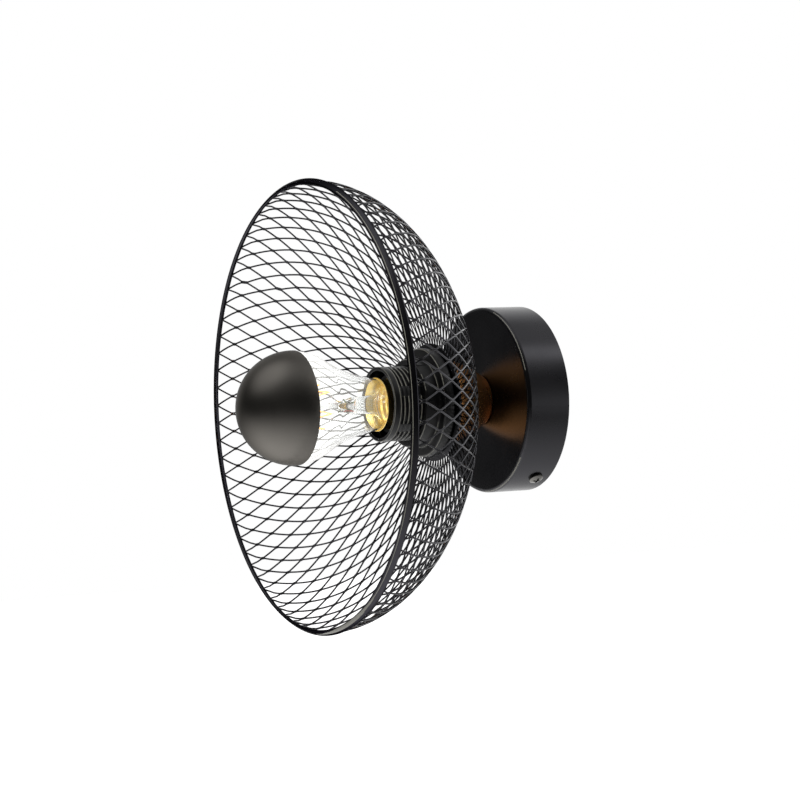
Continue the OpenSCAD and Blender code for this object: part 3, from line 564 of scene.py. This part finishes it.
def on_sheet(run, angle):
    """Point and outward normal of the sheet's middle, drawn in towards the rim's inner side at the rim."""
    radius, away = on_curve(max(run, 0.0))
    normal = Vector((radius / BOWL_R ** 2, (away - RIM_AWAY) / BOWL_DEPTH ** 2)).normalized()
    tuck = RIM_TUCK * (1 - smooth_step(STRAND_END, TUCK_RUN, run))
    radius, away = radius - normal.x * tuck, away - normal.y * tuck
    point = Vector((radius * math.cos(angle), -away, radius * math.sin(angle)))
    return point, Vector((normal.x * math.cos(angle), -normal.y, normal.x * math.sin(angle)))


def column_angle(column):
    """Angle of a half column of crossings; the sheet is a little uneven at its welded seam."""
    cell = column / 2
    if cell <= SEAM_CELL:
        cells = CELL_STRETCH * cell
    elif cell <= SEAM_CELL + 1:
        cells = CELL_STRETCH * SEAM_CELL + SEAM_WIDTH * (cell - SEAM_CELL)
    else:
        start = CELL_STRETCH * SEAM_CELL + SEAM_WIDTH
        cells = start + (CELLS - start) * (cell - SEAM_CELL - 1) / (CELLS - SEAM_CELL - 1)
    return math.tau * (cells + FIRST_CELL) / CELLS


def row_start(angle):
    """Running length of the first row of crossings."""
    return HALF_ROW * (FIRST_ROW - ROW_SKEW * math.cos(angle))


def strand_path(strand):
    """The zigzag of one strand as (running length, angle), cut at the rim and inside the plate's edge."""
    corners = []
    for row in range(-1, ROWS + 2):
        at_left = (strand + row) % 2 == 0
        column = strand if at_left else strand + 1
        angle = column_angle(column % (2 * CELLS)) + math.tau * (column // (2 * CELLS))
        run = row_start(angle) + row * HALF_ROW
        radius = on_curve(max(run, 0.0))[0] if run < curve[-1][0] else PLATE_R
        step = (1 if at_left else -1) * strand_width(radius) * BOND_STEP / radius
        seam = column % (2 * CELLS) == 2 * SEAM_CELL
        bond = SEAM_BOND if seam else BOND
        corners += [(run - bond / 2, angle + step), (run + bond / 2, angle + step)]
    path = []
    for (run_a, angle_a), (run_b, angle_b) in zip(corners, corners[1:]):
        pieces = 1 if run_b - run_a < HALF_ROW / 2 else LINK_PIECES
        for k in range(pieces):
            t = k / pieces
            path.append((run_a + (run_b - run_a) * t, angle_a + (angle_b - angle_a) * t))
    path.append(corners[-1])
    low, high = STRAND_END, plate_run + UNDER_PLATE
    cut = []
    for (run_a, angle_a), (run_b, angle_b) in zip(path, path[1:]):
        if run_b <= low or run_a >= high:
            continue
        if run_a < low:
            t = (low - run_a) / (run_b - run_a)
            run_a, angle_a = low, angle_a + (angle_b - angle_a) * t
        if not cut:
            cut.append((run_a, angle_a))
        if run_b > high:
            t = (high - run_a) / (run_b - run_a)
            run_b, angle_b = high, angle_a + (angle_b - angle_a) * t
        cut.append((run_b, angle_b))
    return cut


def strand_width(radius):
    """The sheet is drawn tighter, and its strands are thinner, towards the plate."""
    return STRAND_W * (THIN_SHARE + (1 - THIN_SHARE) * smooth_step(THIN_R, FULL_R, radius))


def strand_mesh(strand):
    """Points and faces of one strand: a rectangle with chamfered edges that follows its path."""
    spots = [on_sheet(run, angle) for run, angle in strand_path(strand)]
    points = []
    for i, (spot, normal) in enumerate(spots):
        wide = strand_width(math.hypot(spot.x, spot.z)) / 2
        thick, edge = wide * STRAND_T / STRAND_W, wide * 2 * STRAND_EDGE / STRAND_W
        section = [(wide, -thick + edge), (wide, thick - edge), (wide - edge, thick),
                   (-wide + edge, thick), (-wide, thick - edge), (-wide, -thick + edge),
                   (-wide + edge, -thick), (wide - edge, -thick)]
        along = (spots[min(i + 1, len(spots) - 1)][0] - spots[max(i - 1, 0)][0]).normalized()
        side = along.cross(normal).normalized()
        up = side.cross(along)
        points += [(spot + side * x + up * y) * MM for x, y in section]
    return points, swept_faces(len(spots), len(section))


add_piece("expanded_metal", *joined([strand_mesh(strand) for strand in range(2 * CELLS)]),
          "black_metal", "light_body", "shade_mesh", sharp=30)

RIM_R, RIM_W, RIM_T, RIM_LEAN = 119.0, 4.1, 2.0, math.radians(42)   # outer radius, oval section, lean
RIM_POINTS, RIM_SQUARE = 64, 0.8    # points of the section, and the power that fills its oval out
rim_reach = math.hypot(RIM_W / 2 * math.sin(RIM_LEAN), RIM_T / 2 * math.cos(RIM_LEAN))
rim_middle = RIM_R - rim_reach
rim_section = []
for step in range(RIM_POINTS):
    turn = math.tau * step / RIM_POINTS
    x, y = (math.copysign(abs(value) ** RIM_SQUARE, value) for value in (math.cos(turn), math.sin(turn)))
    x, y = x * RIM_T / 2, y * RIM_W / 2
    rim_section.append((rim_middle + x * math.cos(RIM_LEAN) - y * math.sin(RIM_LEAN),
                        RIM_AWAY + x * math.sin(RIM_LEAN) + y * math.cos(RIM_LEAN)))

HIGHLIGHT_FROM, HIGHLIGHT_FULL, HIGHLIGHT_TO = -88, -70, 72   # degrees where the rim's painted highlight line starts, is full, ends
HIGHLIGHT_WIDE, HIGHLIGHT_THIN = -62, -46               # wide before the first, thin after the second
HIGHLIGHT_START, HIGHLIGHT_WIDTH, HIGHLIGHT_MORE = 0.5, 0.45, 1.45


def rim_painted_highlight(radius, away, degrees):
    """A painted highlight line along the near half of the rim, wide at the lower right."""
    out, front = radius - rim_middle, away - RIM_AWAY
    across = front * math.cos(RIM_LEAN) - out * math.sin(RIM_LEAN)
    on_face = out * math.cos(RIM_LEAN) + front * math.sin(RIM_LEAN) > 0
    wide = 1 - smooth_step(HIGHLIGHT_WIDE, HIGHLIGHT_THIN, degrees)
    low = HIGHLIGHT_START - HIGHLIGHT_START * wide
    high = low + (HIGHLIGHT_WIDTH + HIGHLIGHT_MORE * wide) * smooth_step(HIGHLIGHT_FROM, HIGHLIGHT_FULL, degrees)
    return HIGHLIGHT_FROM < degrees < HIGHLIGHT_TO and on_face and low < across < high


add_piece("rim_bar", *lathe(rim_section, 384), "black_metal", "light_body", "shade_rim", sharp=60,
          finish="rim_metal", painted_highlight_at=rim_painted_highlight)


# ---------------------------------------------------------------- canopy, bell cup, lampholder and ring

CANOPY_R, CANOPY_DEPTH, CANOPY_FILLET = 50.0, 25.0, 2.0
SEAT = 55.8                        # plane that the shade rests on
LIP = SEAT + 32.0
HOLDER_R = 19.85
EDGE_LIFT = 0.05                   # of the canopy's edge strip, which carries painted highlights, over its coat
EDGE_STRIP, EDGE_LINE = (36, 56), (42, 52)          # degrees round the fillet: the strip, its thin line
EDGE_UPPER, EDGE_LOWER = (22, 76), (-86, -34)       # degrees round the axis where the highlight is painted
fillet_at = (CANOPY_R - CANOPY_FILLET, CANOPY_DEPTH - CANOPY_FILLET)
edge_arc = arc_about(fillet_at, CANOPY_FILLET + EDGE_LIFT, *map(math.radians, EDGE_STRIP), 10)


def canopy_painted_highlight(radius, away, degrees):
    """A thin painted highlight line at the upper right and a painted highlight over the whole strip at the
    lower right.
    """
    turn = math.degrees(math.atan2(away - fillet_at[1], radius - fillet_at[0]))
    line = EDGE_UPPER[0] < degrees < EDGE_UPPER[1] and EDGE_LINE[0] < turn < EDGE_LINE[1]
    return line or EDGE_LOWER[0] < degrees < EDGE_LOWER[1]


# an edge strip laid just over the canopy to carry its painted highlights
add_piece("canopy_edge_painted_highlight", *lathe(edge_arc, 256, False), "black_metal", "light_body", sharp=60,
          painted_highlight_at=canopy_painted_highlight)

BELL_BORE, BELL_FOOT, BELL_MOUTH = 5.3, 12.9, 24.3   # radii
BELL_BULGE, BELL_WALL, BELL_END = 2.0, 1.0, CANOPY_DEPTH + 30.5
outside = arc_line((BELL_FOOT, CANOPY_DEPTH), (BELL_MOUTH, BELL_END), BELL_BULGE, 48)
inside = [(radius - BELL_WALL, away) for radius, away in outside if away > CANOPY_DEPTH + BELL_WALL]
bell = ([(BELL_BORE, CANOPY_DEPTH + 0.02), (BELL_FOOT - 0.3, CANOPY_DEPTH + 0.02)] + outside[1:-1]
        + [(BELL_MOUTH - 0.1, BELL_END - 0.25), (BELL_MOUTH - 0.3, BELL_END),
           (BELL_MOUTH - 0.7, BELL_END), (BELL_MOUTH - 1.0, BELL_END - 0.3)]
        + inside[::-1][1:] + [(BELL_BORE, CANOPY_DEPTH + BELL_WALL)])
add_piece("bell", *lathe(bell, 256), "copper_metal", "light_body", "bell_cup", sharp=50)

THREAD_PITCH, THREAD_ROOT, THREAD_END = 2.5, HOLDER_R - 1.15, LIP - 4.2
FLAT_START, FLAT_HALF = 24.0, 8.0   # six flats, in degrees
SLEEVE_LOW, SLEEVE_BORE = 49.8, 17.85
SHOULDER_R, SHOULDER_LOW = 22.2, 51.8
SLEEVE_STEPS, THREAD_ROWS, THREAD_ROW = 288, 177, 0.16   # round the axis, along it, and the rows' spacing


def sleeve_radius(away, angle):
    """Outer radius of the lampholder's thread: rounded ridges that climb round it and stop at the flats."""
    degrees = math.degrees(angle)
    on_flat = 1 - smooth_step(FLAT_HALF - 1.0, FLAT_HALF + 1.2, off_sixth(degrees, FLAT_START))
    turn = ((THREAD_END - away) / THREAD_PITCH + degrees / 360) % 1
    ridge = smooth_step(0.30, 0.50, turn) * (1 - smooth_step(0.72, 0.92, turn))
    thread = THREAD_ROOT + (HOLDER_R - THREAD_ROOT) * ridge
    band = smooth_step(THREAD_END - 0.2, THREAD_END + 0.2, away)
    return thread + (HOLDER_R - thread) * max(band, on_flat * 0.8)


# rows without a radius follow the thread
sleeve_rows = ([(HOLDER_R, SLEEVE_LOW), (HOLDER_R, SHOULDER_LOW), (SHOULDER_R - 0.3, SHOULDER_LOW),
                (SHOULDER_R, SHOULDER_LOW + 0.3), (SHOULDER_R, SEAT - 0.3), (SHOULDER_R - 0.3, SEAT),
                (THREAD_ROOT, SEAT)]
               + [(None, SEAT + THREAD_ROW * step) for step in range(1, THREAD_ROWS + 1)]
               + [(None, LIP - 3.4), (HOLDER_R, LIP - 3.2), (HOLDER_R, LIP - 0.5),
                  (HOLDER_R - 0.06, LIP - 0.22), (HOLDER_R - 0.22, LIP - 0.06), (HOLDER_R - 0.5, LIP),
                  (SLEEVE_BORE + 0.45, LIP), (SLEEVE_BORE + 0.2, LIP - 0.1), (SLEEVE_BORE + 0.05, LIP - 0.4),
                  (SLEEVE_BORE, LIP - 8), (SLEEVE_BORE, 60.0), (SLEEVE_BORE, SLEEVE_LOW)])
sleeve_points = []
for step in range(SLEEVE_STEPS):
    turn = math.tau * step / SLEEVE_STEPS
    sleeve_points += [polar(sleeve_radius(away, turn) if radius is None else radius, away, turn)
                      for radius, away in sleeve_rows]


def sleeve_painted_highlight(radius, away, degrees):
    """Painted highlights on the lip, the step under its band and the thread's crests."""
    on_flat = off_sixth(degrees, FLAT_START) < FLAT_HALF
    lip = radius > HOLDER_R - 0.35 and away > LIP - 0.35
    band_end = radius > HOLDER_R - 0.1 and LIP - 3.6 < away < LIP - 3.1
    crest = radius > HOLDER_R - 0.03 and SEAT + 1 < away < THREAD_END - 0.2 and not on_flat
    return lip or band_end or crest


add_piece("threaded_sleeve", sleeve_points, grid_faces(SLEEVE_STEPS, len(sleeve_rows)), "black_plastic",
          "light_body", "holder_sleeve", sharp=42, painted_highlight_at=sleeve_painted_highlight)

RING_BORE, COLLAR_R, FLANGE_R = 20.1, 23.5, 29.0
STEP_R = COLLAR_R + 0.5
RING_LOW = SEAT + 1.2
FLANGE_TOP, STEP_TOP, RING_TOP = RING_LOW + 6, RING_LOW + 6.7, RING_LOW + 14
SLOT_START, SLOT_HALF, SLOT_PLANE = 54, 9.0, COLLAR_R - 0.7   # six slots, in degrees, and their floor
ring_line = rounded([(RING_BORE, RING_LOW, 0.2), (FLANGE_R, RING_LOW, 0.9), (FLANGE_R, FLANGE_TOP, 1.3),
                     (STEP_R, FLANGE_TOP, 0.3), (STEP_R, STEP_TOP, 0.2), (COLLAR_R, STEP_TOP, 0.2),
                     (COLLAR_R, RING_TOP, 1.0), (RING_BORE, RING_TOP, 0.5)])
slot_edges = [SLOT_START + end + step for end in (-SLOT_HALF, SLOT_HALF) for step in (-0.2, 0.2)]
slot_turns = sorted({round((60 * i + off) % 360, 3)
                     for i in range(6) for off in [*range(0, 60, 3), *slot_edges]})
ring_points = []
for degrees in slot_turns:
    off_slot = off_sixth(degrees, SLOT_START)
    for radius, away in ring_line:
        if off_slot < SLOT_HALF and away > STEP_TOP + 0.5 and radius > RING_BORE + 0.6:
            radius = min(radius, SLOT_PLANE / math.cos(math.radians(off_slot)))
        ring_points.append(polar(radius, away, math.radians(degrees)))


def ring_painted_highlight(radius, away, degrees):
    """Painted highlights on the edges of the collar, the flange and the step, all but at the right."""
    edges = (((COLLAR_R, RING_TOP), 0.45), ((FLANGE_R, FLANGE_TOP), 0.55), ((STEP_R, STEP_TOP), 0.2))
    return abs(degrees) >= 22 and any(math.dist((radius, away), edge) < reach for edge, reach in edges)


add_piece("grip_ring", ring_points, grid_faces(len(slot_turns), len(ring_line)), "black_plastic",
          "shade_ring", "shade_ring", sharp=28, painted_highlight_at=ring_painted_highlight)


# ---------------------------------------------------------------- bulb

BULB_TIP, BULB_LENGTH = 62.55, 105.0
CROWN_R, CROWN_T, CROWN_SKIRT = 30.0, 0.3, 1.0
GLASS_R, NECK_R, GLASS_T = 29.65, 13.7, 0.7
GLOBE = BULB_TIP + BULB_LENGTH - CROWN_R   # middle of the globe
COLLAR = BULB_TIP + 26.5                   # end of the cap
GLASS_END = COLLAR - 6.0                   # inside the cap
BULB_STEPS = 192


def cubic(a, b, c, d, t):
    """Point on a cubic curve from a to d that is steered by b and c."""
    return a * (1 - t) ** 3 + b * 3 * t * (1 - t) ** 2 + c * 3 * t * t * (1 - t) + d * t ** 3


def glass_line(inset):
    """Outline of the glass from the end inside the cap to the pole."""
    shoulder = math.radians(32)
    start = Vector((NECK_R - inset, COLLAR))
    radius = GLASS_R - inset
    join = Vector((radius * math.cos(shoulder), GLOBE - radius * math.sin(shoulder)))
    steer = (join.y - COLLAR) * 0.38
    first = start + Vector((0.15 * steer, steer))
    second = join - steer * Vector((math.sin(shoulder), math.cos(shoulder)))
    neck = [tuple(cubic(start, first, second, join, t / 40)) for t in range(41)]
    cap = arc_about((0, GLOBE), radius, -shoulder, math.pi / 2 - 0.01, 48)[1:]
    return [(NECK_R - inset - 2.1, GLASS_END), (NECK_R - inset - 0.6, COLLAR - 1.6)] + neck + cap


def uneven(radius, away, angle):
    """The blown wall is slightly thicker in soft waves."""
    swell = (math.sin(3 * angle + away * 0.21) + math.sin(5 * angle - away * 0.33 + 1.7)
             + 0.8 * math.sin(2 * angle + away * 0.47 + 0.6)) / 2.8
    keep = smooth_step(COLLAR, COLLAR + 6, away) * (1 - smooth_step(GLOBE - 6, GLOBE + 2, away))
    return radius - 0.05 * swell * keep


outer, inner = glass_line(0), glass_line(GLASS_T)[::-1]
glass_points = []
for step in range(BULB_STEPS):
    turn = math.tau * step / BULB_STEPS
    glass_points += [polar(radius, away, turn) for radius, away in outer]
    glass_points += [polar(uneven(radius, away, turn), away, turn) for radius, away in inner]
add_piece("glass_envelope", glass_points, grid_faces(BULB_STEPS, len(outer) + len(inner)), "clear_glass",
          "bulb", "bulb_glass", sharp=60)

skirt = math.asin(CROWN_SKIRT / CROWN_R)
crown = arc_about((0, GLOBE), CROWN_R, -skirt, math.pi / 2, 72)
crown += arc_about((0, GLOBE), CROWN_R - CROWN_T, -skirt, math.pi / 2, 72)[::-1]
add_piece("crown_coat", *lathe(crown, BULB_STEPS), "crown_coat", "bulb", "bulb_crown", sharp=60)

# screw shell with rolled rings, its inside given a painted glow for the filament's light, and the flared
# collar round the glass
SHELL_R, SHELL_LOW = 13.05, BULB_TIP + 1.2 + 3.5   # above the contact and its insulator
CAP_PITCH, CAP_THREAD, CAP_TURNS = 3.6, 0.9, 4
shell = [(SHELL_R - 1.6, SHELL_LOW), (SHELL_R - CAP_THREAD, SHELL_LOW + 0.9)]
shell += [(SHELL_R - CAP_THREAD * (1 + math.cos(math.tau * t / 16)) / 2, SHELL_LOW + 1 + CAP_PITCH * t / 16)
          for t in range(16 * CAP_TURNS + 1)]
shell += [(SHELL_R - CAP_THREAD, SHELL_LOW + 15.6), (13.6, COLLAR - 2.2), (14.0, COLLAR - 1.2),
          (14.25, COLLAR - 0.7), (14.38, COLLAR - 0.3), (14.3, COLLAR - 0.06), (14.1, COLLAR)]
add_piece("screw_shell", *lathe(shell, 160, False), "cap_brass", "bulb", "bulb_cap", sharp=60)
# the shell's inside carries the painted glow
lining = [(14.1, COLLAR), (14.0, COLLAR - 0.1)]
lining += [(radius - 0.3, away) for radius, away in shell[::-1] if away < COLLAR - 0.4]
lining.append(shell[0])
add_piece("screw_shell_inside", *lathe(lining, 160, False), "cap_brass", "bulb", sharp=60, finish="brass_painted_glow")

# thin flared stem tube, its pressed end and the rod with the button
STEM_TOP = GLOBE - 14.0
flare = [(11.0, GLASS_END + 1.0), (11.0, GLASS_END + 1.5), (8.4, GLASS_END + 3.2), (6.4, GLASS_END + 5.6),
         (5.2, GLASS_END + 9.0), (4.7, GLASS_END + 14.0), (4.5, GLASS_END + 21.0), (3.6, GLASS_END + 24.0),
         (2.4, GLASS_END + 26.5), (1.5, GLASS_END + 28.5), (1.4, STEM_TOP - 3.0), (1.7, STEM_TOP - 1.2),
         (2.4, STEM_TOP), (2.6, STEM_TOP + 0.9), (2.2, STEM_TOP + 1.7), (1.2, STEM_TOP + 2.0),
         (0.02, STEM_TOP + 2.0)]
hollow = [(0.02, GLASS_END + 20.0), (2.6, GLASS_END + 19.4), (3.6, GLASS_END + 17.0), (4.0, GLASS_END + 14.0),
          (4.5, GLASS_END + 9.0), (5.8, GLASS_END + 5.2), (7.9, GLASS_END + 2.7), (10.6, GLASS_END + 1.0)]
add_piece("glass_stem", *lathe(flare + hollow, 96), "clear_glass", "bulb", "bulb_stem", sharp=60,
          finish="stem_glass")


def in_bulb(radius, away, degrees):
    """Point in mm at a radius and a turn round the axis, at a distance from the wall."""
    turn = math.radians(degrees)
    return Vector((radius * math.cos(turn), -away, radius * math.sin(turn)))


# support wires to two rings of hooks, and the zigzag of coiled wire between them
LOW_HOOKS, HIGH_HOOKS, LEGS = (11.6, BULB_TIP + 58.0), (9.5, BULB_TIP + 80.5), 12
SUPPORT_R, HOOK_R, LEAD_R = 0.14, 0.18, 0.32
FILAMENT_R, COIL_R, COIL_TURN, SAG = 0.32, 0.14, 150, 0.9   # COIL_TURN is in radians for one leg
wires, glowing = [], []
for leg in range(LEGS):
    turn = 360 * (leg + 0.5) / LEGS
    ring, other_ring = (LOW_HOOKS, HIGH_HOOKS) if leg % 2 else (HIGH_HOOKS, LOW_HOOKS)
    hook, other = in_bulb(*ring, turn), in_bulb(*other_ring, turn + 360 / LEGS)
    root = in_bulb(1.3, GLASS_END + 29.0, turn) if leg % 2 else in_bulb(2.2, STEM_TOP + 0.8, turn)
    bend = root.lerp(hook, 0.6) + Vector((0, 0.8 if leg % 2 else -1.2, 0))
    end = hook + (hook - bend).normalized() * 0.5
    loop = [end, end + Vector((0, -0.5, 0)), hook + Vector((0, -0.9, 0)), hook + Vector((0, -0.4, 0))]
    wires.append(tube([cubic(root, bend, bend, end, t / 10) for t in range(11)], SUPPORT_R, 8))
    wires.append(tube(loop, HOOK_R, 8))
    middle = hook.lerp(other, 0.5)
    sag = middle + (middle - Vector((0, middle.y, 0))).normalized() * SAG
    line = []
    for t in range(97):
        t /= 96
        spot = hook * (1 - t) ** 2 + sag * 2 * t * (1 - t) + other * t * t
        coil = COIL_R * smooth_step(0, 0.05, min(t, 1 - t))
        line.append(spot + Vector((math.cos(t * COIL_TURN), 0, math.sin(t * COIL_TURN))) * coil)
    glowing.append(tube(line, FILAMENT_R, 6))
add_piece("support_wires", *joined(wires), "tinned_copper", "bulb", "bulb_wires", sharp=60)
add_piece("glowing_filament", *joined(glowing), "filament", "bulb", "bulb_filaments", sharp=60)

# short lead-in wires beside the pressed stem, coloured where they are sealed in
for turn, finish in ((35, "seal_green"), (215, "seal_green"), (300, "seal_red"), (120, "brass")):
    foot, head = in_bulb(2.6, GLASS_END + 20.5, turn), in_bulb(4.3, GLASS_END + 27.0, turn + 25)
    rise = in_bulb(2.4, GLASS_END + 25.0, turn)
    wire = tube([cubic(foot, rise, rise, head, t / 8) for t in range(9)], LEAD_R, 8)
    add_piece(f"lead_in_{turn}", *wire, "tinned_copper", "bulb", sharp=60, finish=finish)
